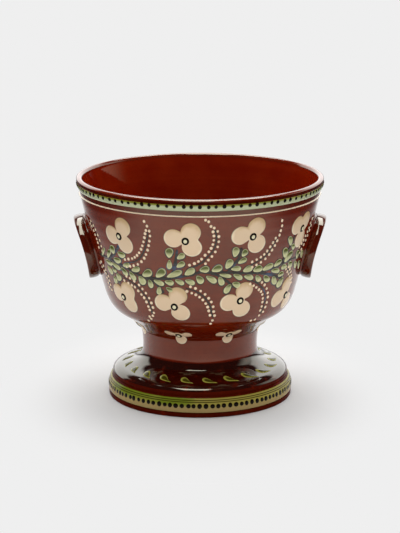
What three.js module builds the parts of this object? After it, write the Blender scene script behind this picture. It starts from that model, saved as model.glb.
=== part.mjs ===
// Footed bowl: a thrown bowl luted to a hollow pedestal foot, with two disc lugs and raised slip ornament.
// Millimetres, +Z up, standing on z = 0 with its axis on Z. The front faces -Y and the lugs lie on X.
import * as THREE from 'three';

// Whole vessel
const totalHeight = 219; // floor to the crest of the lip
const rimRadius = 120.6; // widest reach of the lip

// Bowl
const wallThickness = 5.6;
const floorThickness = 12;
const lipOverhang = 0.4; // how far the lip stands out past the wall
const lipDepth = 3.4;
const bellyInset = 25.7; // from the rim in to where the belly runs into the straight wall
const bellyRise = 43.5; // height of that place above the bowl's base
const undersideReach = 19.7; // from the neck out to where the underside runs into the belly
const undersideRise = 17;

// Foot
const footHeight = 66.3; // floor to the top of the neck
const footRadius = 90.8; // plain strip at the floor
const restWidth = 10.5; // width of the ring that stands on the floor
const edgeEase = 1; // softened edge at the floor
const stripHeight = 4.4;
const bandHeight = 14.9; // zone of the green slip band above the strip
const bandSeatDepth = 1.3; // the seat of that band lies this far inside the strip
const bandTaper = 2.4; // the seat draws in by this much towards its top
const stepInset = 4.8; // from the strip in to the rounded step above the band
const stepRise = 0.6;
const domeInset = 7; // from the step in to the start of the dome
const domeRise = 9.9; // height of the rounded step
const neckRadius = 58; // under the bowl
const waistInset = 1.4; // the neck's waist lies this far inside its top
const waistDrop = 16;
const footWall = 7;
const hollowShoulder = 13; // height of the straight inside wall above the floor

// Seams
const luteThickness = 1.2; // layer of joining slip between the foot and the bowl
const luteWidth = 9;
const luteBead = 0.7; // squeezed out past the neck
const seatGap = 0.3; // clearance under every applied piece

// Disc lugs
const lugRadius = 32;
const lugThickness = 9.4;
const lugRound = 2.4; // rounded edges of the disc
const lugDrop = 65.7; // from the lip down to the centre of the disc
const padRadius = 30.6;
const padThickness = 1.6; // joining clay between disc and wall
const padRound = 0.5;

// Slip ornament
const slipThickness = 0.9;
const bandCrown = 1.2; // thickness of the foot band
const rimBandHeight = 6.3;
const rimBandDrop = 0.6; // from the lip down to the band
const rimLineHeight = 1.6;
const rimLineDrop = 11.4; // from the lip down to the cream line
const blossomCore = 8; // radius of a blossom between its three lobes
const lobeReach = 12.6; // how far a lobe stands out past that
const lobeTilt = 24; // turn of the lobes
const blossomsPerSide = 4; // in front and again behind, leaving room at the lugs
const upperBlossomDrop = 37; // from the lip down to the middle of the upper row
const upperFirstAngle = -42.1; // from the front, towards +X
const upperAngleStep = 34.2;
const lowerBlossomRise = 44.9; // from the bowl's base up to the middle of the lower row
const lowerFirstAngle = -50;
const lowerAngleStep = 36.4;

// Fineness
const turnSteps = 64;
const curveSteps = 4;
const lugSteps = 30;
const slabSteps = 3; // rings across the face of a lug, so that it follows the wall
const blossomSteps = 18;
const bandSteps = 4; // facets across a band of slip
const lineSteps = 2;

const baseLevel = footHeight + luteThickness;
const lipLevel = totalHeight - lipDepth;
const bellyRadius = rimRadius - bellyInset;
const bellyLevel = baseLevel + bellyRise;
const lugLevel = lipLevel - lugDrop;

const brownGlaze = () => new THREE.MeshStandardMaterial({ color: '#6a2113', roughness: 0.18 });
const rawSlip = () => new THREE.MeshStandardMaterial({ color: '#5a1c10', roughness: 0.35 });
const creamSlip = () => new THREE.MeshStandardMaterial({ color: '#d9b98f', roughness: 0.22 });
const greenSlip = () => new THREE.MeshStandardMaterial({ color: '#8f9c62', roughness: 0.22 });

const vessel = new THREE.Group();

function addPiece(name, geometry, material) {
  const mesh = new THREE.Mesh(geometry, material);
  mesh.name = name;
  vessel.add(mesh);
  return mesh;
}

// Adds a smooth curve to (radius, height). Its two handles are shares of the step outwards and upwards.
function sweepTo(path, radius, height, first, second) {
  const start = path.currentPoint.clone();
  const outwards = radius - start.x;
  const upwards = height - start.y;
  path.bezierCurveTo(
    start.x + first[0] * outwards,
    start.y + first[1] * upwards,
    start.x + second[0] * outwards,
    start.y + second[1] * upwards,
    radius,
    height,
  );
  return path;
}

// Turns an outline of (radius, height) points about Z.
function turned(points) {
  return new THREE.LatheGeometry(points, turnSteps).rotateX(Math.PI / 2);
}

function outlineOf(...paths) {
  const outline = new THREE.Path();
  outline.curves = paths.flatMap((path) => path.curves);
  return outline.getPoints(curveSteps);
}

// Length along a skin, from its lower end, at which it reaches a height.
function lengthAt(skin, height) {
  let low = 0;
  let high = 1;
  for (let round = 0; round < 40; round += 1) {
    const middle = (low + high) / 2;
    if (skin.getPoint(middle).y < height) low = middle;
    else high = middle;
  }
  return low * skin.getLength();
}

// A point of the outline at a length along a skin, lifted off it by a distance.
function liftedPoint(skin, length, lift) {
  const share = length / skin.getLength();
  const point = skin.getPoint(share);
  const tangent = skin.getTangent(share);
  return new THREE.Vector2(point.x + lift * tangent.y, point.y - lift * tangent.x);
}

// Bowl: its outer skin carries the lugs and the ornament.
const bowlSkin = new THREE.Path().moveTo(neckRadius, baseLevel);
sweepTo(bowlSkin, neckRadius + undersideReach, baseLevel + undersideRise, [0.075, 0.237], [0.55, 0.69]);
sweepTo(bowlSkin, bellyRadius, bellyLevel, [0.5, 0.18], [0.8, 0.47]);
sweepTo(bowlSkin, rimRadius - lipOverhang, lipLevel, [0.37, 0.33], [0.71, 0.67]);

function bowlGeometry() {
  const base = new THREE.Path().moveTo(0, baseLevel).lineTo(neckRadius, baseLevel);
  const rimInside = rimRadius - lipOverhang - wallThickness;
  const lip = new THREE.Path().moveTo(rimRadius - lipOverhang, lipLevel);
  sweepTo(lip, rimRadius, lipLevel + lipDepth / 2, [0.6, 0.1], [1, 0.6]);
  sweepTo(lip, rimRadius - (lipOverhang + wallThickness) / 2, totalHeight, [0, 0.6], [0.5, 1]);
  sweepTo(lip, rimInside, lipLevel, [0.6, 0], [1, 0.4]);
  const inside = new THREE.Path().moveTo(rimInside, lipLevel);
  sweepTo(inside, bellyRadius - wallThickness, bellyLevel, [0.29, 0.33], [0.63, 0.67]);
  sweepTo(inside, 0, baseLevel + floorThickness, [0.1, 0.68], [0.3, 1]);
  return turned(outlineOf(base, bowlSkin, lip, inside));
}

// Foot: plain strip, band seat, rounded step, dome and neck outside, hollow inside.
const seatRadius = footRadius - bandSeatDepth;
const bandSeat = new THREE.Path().moveTo(seatRadius, stripHeight);
sweepTo(bandSeat, seatRadius - bandTaper, stripHeight + bandHeight, [-0.4, 0.3], [-0.2, 0.7]);

function footGeometry() {
  const restInside = footRadius - restWidth;
  const ledge = stripHeight + bandHeight + stepRise;
  const stepRadius = footRadius - stepInset;
  const strip = new THREE.Path().moveTo(restInside, 0).lineTo(footRadius - edgeEase, 0);
  strip.lineTo(footRadius, edgeEase).lineTo(footRadius, stripHeight).lineTo(seatRadius, stripHeight);
  const crown = new THREE.Path().moveTo(seatRadius - bandTaper, stripHeight + bandHeight);
  crown.lineTo(stepRadius, ledge);
  sweepTo(crown, stepRadius - domeInset, ledge + domeRise, [-0.31, 0.46], [-0.03, 0.79]);
  sweepTo(crown, neckRadius - waistInset, footHeight - waistDrop, [0.76, 0.195], [1.018, 0.5]);
  sweepTo(crown, neckRadius, footHeight, [0, 0.4], [0.55, 0.7]);
  const hollow = new THREE.Path().moveTo(neckRadius, footHeight).lineTo(neckRadius - footWall, footHeight);
  hollow.lineTo(neckRadius - waistInset - footWall, footHeight - waistDrop);
  sweepTo(hollow, restInside, hollowShoulder, [0, 0.55], [0.8, 0.7]);
  hollow.lineTo(restInside, 0);
  return turned(outlineOf(strip, bandSeat, crown, hollow));
}

// Joining slip squeezed between the flat top of the neck and the flat base of the bowl.
function luteGeometry() {
  const bead = neckRadius + luteBead;
  const ring = new THREE.Path().moveTo(neckRadius - luteWidth, footHeight).lineTo(neckRadius, footHeight);
  ring.lineTo(bead, footHeight + luteThickness / 2).lineTo(neckRadius, baseLevel);
  ring.lineTo(neckRadius - luteWidth, baseLevel).lineTo(neckRadius - luteWidth, footHeight);
  return turned(outlineOf(ring));
}

// A ring of slip lying on a skin between two heights, rounded over from edge to edge.
function slipRing(skin, bottom, top, thickness, steps) {
  const first = lengthAt(skin, bottom);
  const last = lengthAt(skin, top);
  const shares = Array.from({ length: steps + 1 }, (_, step) => step / steps);
  const along = (share) => first + share * (last - first);
  const crown = (share) => thickness * (0.4 + 0.6 * Math.sqrt(1 - (2 * share - 1) ** 4));
  const outside = shares.map((share) => liftedPoint(skin, along(share), seatGap + crown(share)));
  const under = shares.map((share) => liftedPoint(skin, along(share), seatGap)).reverse();
  return turned([...outside, ...under, outside[0]]);
}

// Bends a piece that was turned about +Y onto the bowl's skin: +Y comes to look out of the wall, and -Z up it.
function bentOntoBowl(geometry, height, angle) {
  const middle = lengthAt(bowlSkin, height);
  const place = geometry.attributes.position;
  for (let index = 0; index < place.count; index += 1) {
    const length = middle - place.getZ(index);
    const point = liftedPoint(bowlSkin, length, place.getY(index));
    const wallRadius = liftedPoint(bowlSkin, length, 0).x;
    const bearing = THREE.MathUtils.degToRad(angle) + place.getX(index) / wallRadius;
    place.setXYZ(index, point.x * Math.sin(bearing), -point.x * Math.cos(bearing), point.y);
  }
  return geometry;
}

// A three-lobed pad of slip.
function blossomGeometry(height, angle) {
  const outline = [
    [0, 0],
    [0.5, 0],
    [1, 0],
    [0.94, 0.7 * slipThickness],
    [0.55, slipThickness],
    [0, slipThickness],
  ].map(([share, lift]) => new THREE.Vector2(share, seatGap + lift));
  const geometry = new THREE.LatheGeometry(outline, blossomSteps);
  const place = geometry.attributes.position;
  for (let index = 0; index < place.count; index += 1) {
    const turn = Math.atan2(place.getX(index), place.getZ(index));
    const share = Math.hypot(place.getX(index), place.getZ(index));
    const reach = share * (blossomCore + lobeReach * Math.sqrt(Math.abs(Math.cos(1.5 * turn))));
    const tilted = turn + THREE.MathUtils.degToRad(lobeTilt);
    place.setX(index, reach * Math.sin(tilted));
    place.setZ(index, reach * Math.cos(tilted));
  }
  return bentOntoBowl(geometry, height, angle);
}

function addBlossoms(row, height, firstAngle, angleStep) {
  for (const [side, turn] of [['front', 0], ['back', 180]]) {
    for (let index = 0; index < blossomsPerSide; index += 1) {
      const angle = turn + firstAngle + index * angleStep;
      addPiece(`${row}_blossom_${side}_${index + 1}`, blossomGeometry(height, angle), creamSlip());
    }
  }
}

// A round slab with eased edges, its back lifted off the bowl's skin.
function slabGeometry(radius, thickness, round, lift, angle) {
  const eased = round * (1 - Math.SQRT1_2);
  const across = Array.from({ length: slabSteps }, (_, step) => (step / slabSteps) * radius);
  const outline = [
    ...across.map((reach) => [reach, 0]),
    [radius - round, 0],
    [radius - eased, eased],
    [radius, round],
    [radius, thickness - round],
    [radius - eased, thickness - eased],
    [radius - round, thickness],
    ...across.reverse().map((reach) => [reach, thickness]),
  ].map(([reach, out]) => new THREE.Vector2(reach, lift + out));
  return bentOntoBowl(new THREE.LatheGeometry(outline, lugSteps), lugLevel, angle);
}

function addLug(side, angle) {
  const pad = slabGeometry(padRadius, padThickness, padRound, seatGap, angle);
  addPiece(`lug_pad_${side}`, pad, rawSlip());
  const lug = slabGeometry(lugRadius, lugThickness, lugRound, 2 * seatGap + padThickness, angle);
  addPiece(`lug_${side}`, lug, brownGlaze());
}

addPiece('bowl', bowlGeometry(), brownGlaze());
addPiece('foot', footGeometry(), brownGlaze());
addPiece('neck_lute', luteGeometry(), rawSlip());
addLug('left', -90);
addLug('right', 90);

const rimBandTop = lipLevel - rimBandDrop;
const rimLineTop = lipLevel - rimLineDrop;
const rimBand = slipRing(bowlSkin, rimBandTop - rimBandHeight, rimBandTop, slipThickness, bandSteps);
const rimLine = slipRing(bowlSkin, rimLineTop - rimLineHeight, rimLineTop, slipThickness, lineSteps);
addPiece('rim_band', rimBand, greenSlip());
addPiece('rim_line', rimLine, creamSlip());
const bandBottom = stripHeight + seatGap;
const bandTop = stripHeight + bandHeight - seatGap;
addPiece('foot_band', slipRing(bandSeat, bandBottom, bandTop, bandCrown, bandSteps), greenSlip());

addBlossoms('upper', lipLevel - upperBlossomDrop, upperFirstAngle, upperAngleStep);
addBlossoms('lower', baseLevel + lowerBlossomRise, lowerFirstAngle, lowerAngleStep);

export default vessel;
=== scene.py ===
import math
import random
from bisect import bisect_right
from itertools import accumulate

import bmesh
import bpy
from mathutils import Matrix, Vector
from mathutils.bvhtree import BVHTree
from mathutils.geometry import interpolate_bezier


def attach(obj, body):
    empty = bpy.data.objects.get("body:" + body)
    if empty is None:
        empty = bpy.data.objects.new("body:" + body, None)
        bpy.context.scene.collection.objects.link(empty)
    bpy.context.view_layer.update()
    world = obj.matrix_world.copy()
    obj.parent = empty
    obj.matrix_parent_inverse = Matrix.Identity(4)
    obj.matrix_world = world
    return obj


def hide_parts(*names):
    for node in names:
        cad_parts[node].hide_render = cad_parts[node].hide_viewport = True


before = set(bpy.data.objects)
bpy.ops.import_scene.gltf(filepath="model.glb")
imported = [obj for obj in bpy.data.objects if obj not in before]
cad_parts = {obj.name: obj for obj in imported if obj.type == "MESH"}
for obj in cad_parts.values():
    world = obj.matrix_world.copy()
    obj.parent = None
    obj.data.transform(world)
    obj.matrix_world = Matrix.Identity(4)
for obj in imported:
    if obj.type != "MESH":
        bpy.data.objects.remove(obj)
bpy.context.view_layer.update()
mm = 0.001  # all sizes below are in millimetres, meshes in metres
chance = random.Random(11)
print("frame loaded:", len(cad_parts), "nodes")

# camera, fitted to the photograph
photo = {
    "width": 400,  # picture size in pixels
    "height": 533,
    "focal": 2000,  # focal length in the same pixels
    "film": 36,
    "elevation": 13.8,  # degrees above the horizontal
    "distance": 1972,
    "aim": 127,  # height of the picture's middle on the vessel's axis
}


def addCamera():
    tilt = math.radians(photo["elevation"])
    reach = photo["distance"] * mm
    lens = bpy.data.cameras.new("camera")
    lens.sensor_fit = "VERTICAL"
    lens.sensor_height = photo["film"]
    lens.lens = photo["focal"] * photo["film"] / photo["height"]
    eye = bpy.data.objects.new("camera", lens)
    eye.location = (0, -reach * math.cos(tilt), photo["aim"] * mm + reach * math.sin(tilt))
    eye.rotation_euler = (math.pi / 2 - tilt, 0, 0)
    bpy.context.scene.collection.objects.link(eye)
    bpy.context.scene.camera = eye
    bpy.context.view_layer.update()
    return eye


camera = addCamera()

# thrown body: the same sizes as the part's source, with a slightly tighter fillet under the neck
bowl = {
    "totalHeight": 219,
    "rimRadius": 120.6,
    "wallThickness": 5.6,
    "floorThickness": 12,
    "lipOverhang": 0.4,
    "lipDepth": 3.4,
    "bellyInset": 25.7,
    "bellyRise": 43.5,
    "undersideReach": 19.7,
    "undersideRise": 17,
    "throwRing": 0.03,  # height of the rings that the potter's fingers left
    "throwWaves": [(1, 0.61, 0), (0.6, 1.07, 1.3), (0.4, 0.23, 0.4)],  # share, rate and start of each
    "throwFade": 12,  # length over which they fade in and out
    "segments": 256,
}
foot = {
    "height": 66.3,
    "radius": 90.8,
    "restWidth": 10.5,
    "edgeEase": 1,
    "stripHeight": 4.4,
    "stripEase": 0.4,
    "bandHeight": 14.9,
    "bandSeatDepth": 1.3,
    "bandTaper": 2.4,
    "stepInset": 4.8,
    "stepRise": 0.6,
    "domeInset": 7,
    "domeRise": 9.9,
    "neckRadius": 58,
    "waistInset": 1.4,
    "waistDrop": 16,
    "wall": 7,
    "hollowShoulder": 13,
    "dullBelow": 24.6,  # level up to which the glaze of the strip and the dome's edge is dull
    "segments": 256,
}
seam = {"thickness": 1.2, "width": 9, "bead": 0.35, "seatGap": 0.3}

baseLevel = foot["height"] + seam["thickness"]
lipLevel = bowl["totalHeight"] - bowl["lipDepth"]
rimWall = bowl["rimRadius"] - bowl["lipOverhang"]
rimInside = rimWall - bowl["wallThickness"]
bellyRadius = bowl["rimRadius"] - bowl["bellyInset"]
bellyLevel = baseLevel + bowl["bellyRise"]
bandTop = foot["stripHeight"] + foot["bandHeight"]
ledgeLevel = bandTop + foot["stepRise"]
stepRadius = foot["radius"] - foot["stepInset"]
seatRadius = foot["radius"] - foot["bandSeatDepth"]
waistRadius = foot["neckRadius"] - foot["waistInset"]
waistLevel = foot["height"] - foot["waistDrop"]


def sweep(outline, radius, height, first, second, steps=24):
    # smooth curve to (radius, height); its handles are shares of the step outwards and upwards
    start = outline[-1]
    step = Vector((radius, height)) - start
    handles = [start + Vector((step.x * share[0], step.y * share[1])) for share in (first, second)]
    curve = interpolate_bezier(start, *handles, Vector((radius, height)), steps + 1)
    outline.extend(Vector(point) for point in curve[1:])


def lineTo(outline, radius, height):
    outline.append(Vector((radius, height)))


# outer skin from the step of the foot up to the lip; all the ornament but the foot's band lies on it
skin = [Vector((stepRadius, ledgeLevel))]
sweep(skin, stepRadius - foot["domeInset"], ledgeLevel + foot["domeRise"], (-0.31, 0.46), (-0.03, 0.79))
sweep(skin, waistRadius, waistLevel, (0.81, 0.15), (1.014, 0.42))
sweep(skin, foot["neckRadius"], foot["height"], (0, 0.4), (0.55, 0.7))
neckTop = len(skin)
lineTo(skin, foot["neckRadius"], baseLevel)
undersideRadius = foot["neckRadius"] + bowl["undersideReach"]
sweep(skin, undersideRadius, baseLevel + bowl["undersideRise"], (0.075, 0.237), (0.55, 0.69))
sweep(skin, bellyRadius, bellyLevel, (0.5, 0.18), (0.8, 0.47))
sweep(skin, rimWall, lipLevel, (0.37, 0.33), (0.71, 0.67), 48)
bandSeat = [Vector((seatRadius, foot["stripHeight"]))]
sweep(bandSeat, seatRadius - foot["bandTaper"], bandTop, (-0.4, 0.3), (-0.2, 0.7))


def lengthsOf(outline):
    return [0, *accumulate((b - a).length for a, b in zip(outline, outline[1:]))]


def tangentsOf(outline):
    steps = [(b - a).normalized() for a, b in zip(outline, outline[1:])]
    return [(a + b).normalized() for a, b in zip(steps[:1] + steps, steps + steps[-1:])]


skinLengths = {id(outline): lengthsOf(outline) for outline in (skin, bandSeat)}
skinTangents = {id(outline): tangentsOf(outline) for outline in (skin, bandSeat)}


def skinAt(outline, length):
    # point and outward normal at a length along an outline, carried on straight past its ends
    lengths = skinLengths[id(outline)]
    tangents = skinTangents[id(outline)]
    index = min(max(bisect_right(lengths, length) - 1, 0), len(outline) - 2)
    share = (length - lengths[index]) / (lengths[index + 1] - lengths[index])
    tangent = tangents[index].lerp(tangents[index + 1], min(max(share, 0), 1)).normalized()
    return outline[index].lerp(outline[index + 1], share), Vector((tangent.y, -tangent.x))


def lengthAt(outline, height):
    lengths = skinLengths[id(outline)]
    heights = [point.y for point in outline]
    index = min(max(bisect_right(heights, height) - 1, 0), len(outline) - 2)
    share = (height - heights[index]) / (heights[index + 1] - heights[index])
    return lengths[index] + share * (lengths[index + 1] - lengths[index])


def onSkin(outline, angle, length, lift):
    # angle from the front towards +X, lift along the skin's own normal
    point, normal = skinAt(outline, length)
    place = point + normal * lift
    return Vector((place.x * math.sin(angle), -place.x * math.cos(angle), place.y)) * mm


def toMesh(shape, name):
    mesh = bpy.data.meshes.new(name)
    shape.to_mesh(mesh)
    shape.free()
    return mesh


def finishPiece(shape, name, materials, replaced=(), sharp=35):
    mesh = toMesh(shape, name)
    mesh.shade_smooth()
    mesh.set_sharp_from_angle(angle=math.radians(sharp))
    for material in materials:
        mesh.materials.append(material)
    piece = bpy.data.objects.new(name, mesh)
    bpy.context.scene.collection.objects.link(piece)
    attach(piece, "root")
    if replaced:
        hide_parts(*replaced)
    return piece


def turnOutline(outline, segments):
    # spins (radius, height) points about Z
    shape = bmesh.new()
    rail = [shape.verts.new((point.x * mm, 0, point.y * mm)) for point in outline]
    edges = [shape.edges.new(pair) for pair in zip(rail, rail[1:])]
    bmesh.ops.spin(shape, geom=rail + edges, cent=(0, 0, 0), axis=(0, 0, 1), angle=math.tau,
                   steps=segments, use_merge=True)
    bmesh.ops.remove_doubles(shape, verts=shape.verts, dist=1e-6)
    bmesh.ops.dissolve_degenerate(shape, edges=shape.edges, dist=1e-7)
    bmesh.ops.recalc_face_normals(shape, faces=shape.faces)
    return shape


def throwRings(outline):
    # faint uneven rings up a thrown wall
    lengths = lengthsOf(outline)
    rippled = []
    for index, point in enumerate(outline):
        before = outline[max(index - 1, 0)]
        after = outline[min(index + 1, len(outline) - 1)]
        tangent = (after - before).normalized()
        place = lengths[index]
        wave = sum(share * math.sin(place * rate + start) for share, rate, start in bowl["throwWaves"])
        fade = min(1, place / bowl["throwFade"], (lengths[-1] - place) / bowl["throwFade"])
        rippled.append(point + Vector((tangent.y, -tangent.x)) * wave * fade * bowl["throwRing"])
    return rippled


# materials
glaze = {
    "brown": (106, 24, 4),
    "brownDark": (84, 12, 2),
    "brownWarm": (130, 42, 10),
    # near-black brown of pooled glaze on the lugs and of the painted shade in creases, on the underside and
    # on the foot
    "brownPoolAndShade": (38, 4, 1),
    # the inside's glaze is the brown painted brighter and redder: painted light falling into the bowl
    "inside": (122, 20, 2),
    "insideDark": (96, 12, 1),
    "insideWarm": (142, 46, 8),
    "cream": (228, 199, 165),
    "creamPale": (242, 221, 190),
    "creamTan": (188, 150, 96),
    "dotCream": (250, 222, 188),
    "leaf": (188, 189, 136),
    "leafPale": (220, 217, 166),
    "leafBlot": (74, 84, 8),
    # dark ring at a leaf's foot: pooled glaze and painted shade
    "leafHalo": (34, 36, 24),
    "stem": (54, 49, 48),
    "stemPale": (74, 84, 108),
    "ink": (15, 8, 5),
    "eye": (232, 226, 186),
    # dark ring at a drop's foot: pooled glaze and painted shade
    "halo": (58, 18, 8),
    "sage": (182, 188, 150),
    "olive": (132, 130, 44),
    "footOlive": (142, 131, 60),
    "moss": (102, 114, 28),
    "beige": (152, 130, 84),
    "cutLine": (46, 34, 8),
    "footLeaf": (66, 62, 12),
    "footLeafPale": (168, 164, 70),
    "roughness": 0.05,
    "ior": 1.67,
    "neckIor": 1.56,
    "softIor": 1.42,
    "edgeIor": 1.06,  # glaze in the painted shade under the lip and low on the foot hardly mirrors
    "dullIor": 1.2,  # ink and the foot's slip dull the glaze over them
    "sheen": (1, 1, 0.8, 1),  # warm tint of the gloss
    "insideSheen": (1, 0.55, 0.2, 1),
}


def paint(name):
    # linear colour of a named sRGB tone
    def toLinear(value):
        share = value / 255
        return share / 12.92 if share <= 0.04045 else ((share + 0.055) / 1.055) ** 2.4
    return (*(toLinear(value) for value in glaze[name]), 1)


def addNode(tree, kind, inputs=None, **settings):
    made = tree.nodes.new("ShaderNode" + kind)
    for key, value in settings.items():
        setattr(made, key, value)
    for socket, value in (inputs or {}).items():
        if isinstance(value, bpy.types.NodeSocket):
            tree.links.new(value, made.inputs[socket])
        else:
            made.inputs[socket].default_value = value
    return made


def calc(tree, operation, *values):
    return addNode(tree, "Math", dict(enumerate(values)), operation=operation).outputs[0]


def mixValue(tree, share, first, second):
    return addNode(tree, "Mix", {0: share, 2: first, 3: second}).outputs[0]


def mixColour(tree, share, first, second):
    return addNode(tree, "Mix", {0: share, 6: first, 7: second}, data_type="RGBA").outputs[2]


def smoothStep(tree, value, low, high):
    ramp = addNode(tree, "MapRange", {"Value": value, "From Min": low, "From Max": high},
                   interpolation_type="SMOOTHSTEP")
    return ramp.outputs["Result"]


def noise(tree, coords, scale, detail):
    return addNode(tree, "TexNoise", {"Vector": coords, "Scale": scale, "Detail": detail}).outputs["Fac"]


def objectCoords(tree):
    return addNode(tree, "TexCoord").outputs["Object"]


def axesOf(tree, coords):
    parts = addNode(tree, "SeparateXYZ", {"Vector": coords})
    return [parts.outputs[axis] for axis in "XYZ"]


def distanceOf(tree, coords, weights):
    weighted = addNode(tree, "VectorMath", {0: coords, 1: weights}, operation="MULTIPLY").outputs["Vector"]
    return addNode(tree, "VectorMath", {0: weighted}, operation="LENGTH").outputs["Value"]


def attributes(tree, *labels):
    return [addNode(tree, "Attribute", attribute_name=label).outputs["Fac"] for label in labels]


def newGroup(name, inputs, outputs):
    group = bpy.data.node_groups.new(name, "ShaderNodeTree")
    for side, sockets in (("INPUT", inputs), ("OUTPUT", outputs)):
        for label, kind in sockets.items():
            group.interface.new_socket(label, in_out=side, socket_type="NodeSocket" + kind)
    return group, group.nodes.new("NodeGroupInput"), group.nodes.new("NodeGroupOutput")


# fine unevenness of the fired glaze and of the slips under it
grain = {
    "ringScale": (6, 6, 260),
    "ringRelief": 0.6,
    "ringTone": 0.5,
    "peelScale": 240,
    "driftScale": 34,
    "glossDrift": 0.04,
    "speckScale": 420,
    "speckSize": 0.16,
    "bodyDrift": (0.5, 1.05),  # tones between which the glaze goes from dark to warm
    "bodyShare": 0.7,  # how much of the plain body colour is mixed into that
    "slipScale": 210,  # mottling of the slip's pale edges
    "slipMottle": 0.24,
    "slipLight": (0.92, 1.06),  # darkest and lightest drop
    "tanHigh": (0.5, 0.95),  # where a drop's edge turns tan: how high on it, and how near the edge
    "tanEdge": (0.6, 1),
    "blotHigh": (0.6, 1),  # where a leaf has its copper blot, and how much that wanders
    "blotEdge": (1, 0.72),
    "blotWander": 0.35,
    "stemPale": (0.8, 1),
    "poolShadeScale": 130,  # mottling of the pooled glaze and of the painted shade
    "poolShadeThin": (0.54, 0.72),
    "poolShadeBreak": 0.45,
}


def makeGlazeSurface():
    # fired glaze: faint runs and orange peel in the height, small drifts in tone and gloss
    group, given, out = newGroup("glazeSurface", {"Roughness": "Float"}, {
        "Height": "Float", "Tone": "Float", "Speck": "Float", "Roughness": "Float"})
    coords = objectCoords(group)
    ringCoords = addNode(group, "Mapping", {"Vector": coords, "Scale": grain["ringScale"]}).outputs["Vector"]
    runs = noise(group, ringCoords, 1, 3)
    peel = noise(group, coords, grain["peelScale"], 1)
    drift = noise(group, coords, grain["driftScale"], 4)
    specks = addNode(group, "TexVoronoi", {"Vector": coords, "Scale": grain["speckScale"]})
    wander = calc(group, "SUBTRACT", drift, 0.5)
    results = {
        "Height": calc(group, "MULTIPLY_ADD", runs, grain["ringRelief"], peel),
        "Tone": calc(group, "MULTIPLY_ADD", runs, grain["ringTone"], drift),
        "Speck": calc(group, "LESS_THAN", specks.outputs["Distance"], grain["speckSize"]),
        "Roughness": calc(group, "MULTIPLY_ADD", wander, grain["glossDrift"], given.outputs["Roughness"]),
    }
    for label, value in results.items():
        group.links.new(value, out.inputs[label])
    return group


def makeSlipEdge():
    # a drop of slip: body colour, paler towards its thick edge as a painted highlight, tan along its top,
    # and dark glaze pooled round its foot, with painted shade in that crease
    group, given, out = newGroup("slipEdge", {
        "Body": "Color", "Pale": "Color", "Tan": "Color", "Halo": "Color",
        "Pale from": "Float", "Halo from": "Float", "Tan share": "Float"}, {"Color": "Color"})
    edge, high, tone = attributes(group, "edge", "high", "tone")
    mottle = noise(group, objectCoords(group), grain["slipScale"], 3)
    shift = calc(group, "MULTIPLY_ADD", mottle, grain["slipMottle"], -grain["slipMottle"] / 2)
    uneven = calc(group, "ADD", edge, shift)
    # painted highlight: the drop turns paler towards its edge
    paleHighlightShare = smoothStep(group, uneven, given.outputs["Pale from"], 0.95)
    # dark ring at the drop's foot: pooled glaze, with painted shade in that crease
    haloShare = smoothStep(group, edge, given.outputs["Halo from"], 1)
    rimmed = calc(group, "MULTIPLY", smoothStep(group, high, *grain["tanHigh"]),
                  smoothStep(group, uneven, *grain["tanEdge"]))
    tanShare = calc(group, "MULTIPLY", rimmed, given.outputs["Tan share"])
    body = mixColour(group, paleHighlightShare, given.outputs["Body"], given.outputs["Pale"])
    tanned = mixColour(group, tanShare, body, given.outputs["Tan"])
    dark, light = grain["slipLight"]
    lightness = addNode(group, "MapRange", {"Value": tone, "To Min": dark, "To Max": light}).outputs[0]
    toned = addNode(group, "HueSaturation", {"Value": lightness, "Color": tanned}).outputs["Color"]
    group.links.new(mixColour(group, haloShare, toned, given.outputs["Halo"]), out.inputs["Color"])
    return group


glazeSurface = makeGlazeSurface()
slipEdge = makeSlipEdge()


def newMaterial(name):
    material = bpy.data.materials.new(name)
    material.use_nodes = True
    tree = material.node_tree
    return material, tree, tree.nodes["Principled BSDF"]


def glazed(name, colour, bump=0.03, ior=glaze["ior"], sheen="sheen"):
    # clear-glazed ware: colour(tree, surface) gives the socket for its base colour
    material, tree, shader = newMaterial(name)
    shader.inputs["IOR"].default_value = ior
    shader.inputs["Specular Tint"].default_value = glaze[sheen]
    surface = addNode(tree, "Group", {"Roughness": glaze["roughness"]}, node_tree=glazeSurface)
    relief = addNode(tree, "Bump", {"Height": surface.outputs["Height"], "Strength": bump, "Distance": 0.001})
    tree.links.new(relief.outputs["Normal"], shader.inputs["Normal"])
    tree.links.new(surface.outputs["Roughness"], shader.inputs["Roughness"])
    tree.links.new(colour(tree, surface), shader.inputs["Base Color"])
    return material


def slipColour(body, pale, halo="halo", paleFrom=0.7, haloFrom=0.94, tanShare=0.0):
    def colour(tree, surface):
        inputs = {"Body": paint(body), "Pale": paint(pale), "Tan": paint("creamTan"), "Halo": paint(halo),
                  "Pale from": paleFrom, "Halo from": haloFrom, "Tan share": tanShare}
        return addNode(tree, "Group", inputs, node_tree=slipEdge).outputs["Color"]
    return colour


def toneColour(first, second):
    return lambda tree, surface: mixColour(tree, surface.outputs["Tone"], paint(first), paint(second))


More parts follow.
